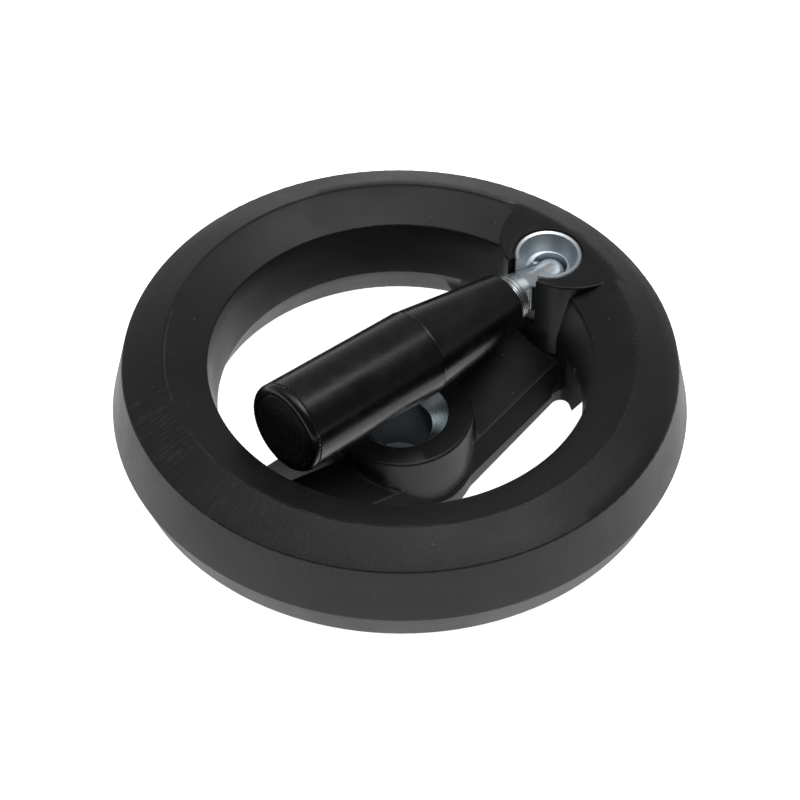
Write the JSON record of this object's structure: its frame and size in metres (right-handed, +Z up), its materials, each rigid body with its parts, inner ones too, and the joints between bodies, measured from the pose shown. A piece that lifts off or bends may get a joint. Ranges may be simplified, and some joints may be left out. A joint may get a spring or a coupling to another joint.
{
  "type": "folding-handle handwheel",
  "caption": "Solid machine handwheel with dished roof-topped arms, a steel-bushed plain bore and a revolving grip on a crank handle that folds down into the wheel.",
  "frame": {"origin": "on the wheel's axis, in the face of the hub that sits against the machine", "axes": "+Z up the wheel's axis, away from the machine; +X from the axis towards the handle's socket; the folded handle points from the socket back across the hub, towards -X"},
  "size_m": [0.14, 0.14, 0.0522],
  "materials": {
    "black_plastic": "glass-filled, finely textured, matt",
    "grip_plastic": "satin-gloss moulded",
    "cap_plastic": "turned, fine concentric marks",
    "bush_steel": "turned, bright",
    "zinc_steel": "turned and zinc-plated, bluish",
    "spring_steel": "drawn wire"
  },
  "bodies": {
    "wheel": {"wheel_body": "black_plastic", "hub_bush": "bush_steel", "socket_bush": "zinc_steel", "pivot_pin": "bush_steel", "thrust_pad": "bush_steel", "thrust_spring": "spring_steel", "socket_plug": "bush_steel"},
    "crank": {"crank_spindle": "zinc_steel", "grip_washer": "bush_steel", "retaining_ring": "spring_steel"},
    "grip": {"grip_sleeve": "grip_plastic", "grip_end_cap": "cap_plastic"}
  },
  "joints": [
    {"name": "handle_fold", "type": "hinge", "parent": "wheel", "child": "crank", "pos_m": [0.05025, 0, 0.03405], "axis": [0, 1, 0], "range_deg": [0, 85.5]},
    {"name": "grip_spin", "type": "hinge", "parent": "crank", "child": "grip", "pos_m": [0.05025, 0, 0.03405], "axis": [-0.9969, 0, 0.0785], "continuous": true}
  ]
}
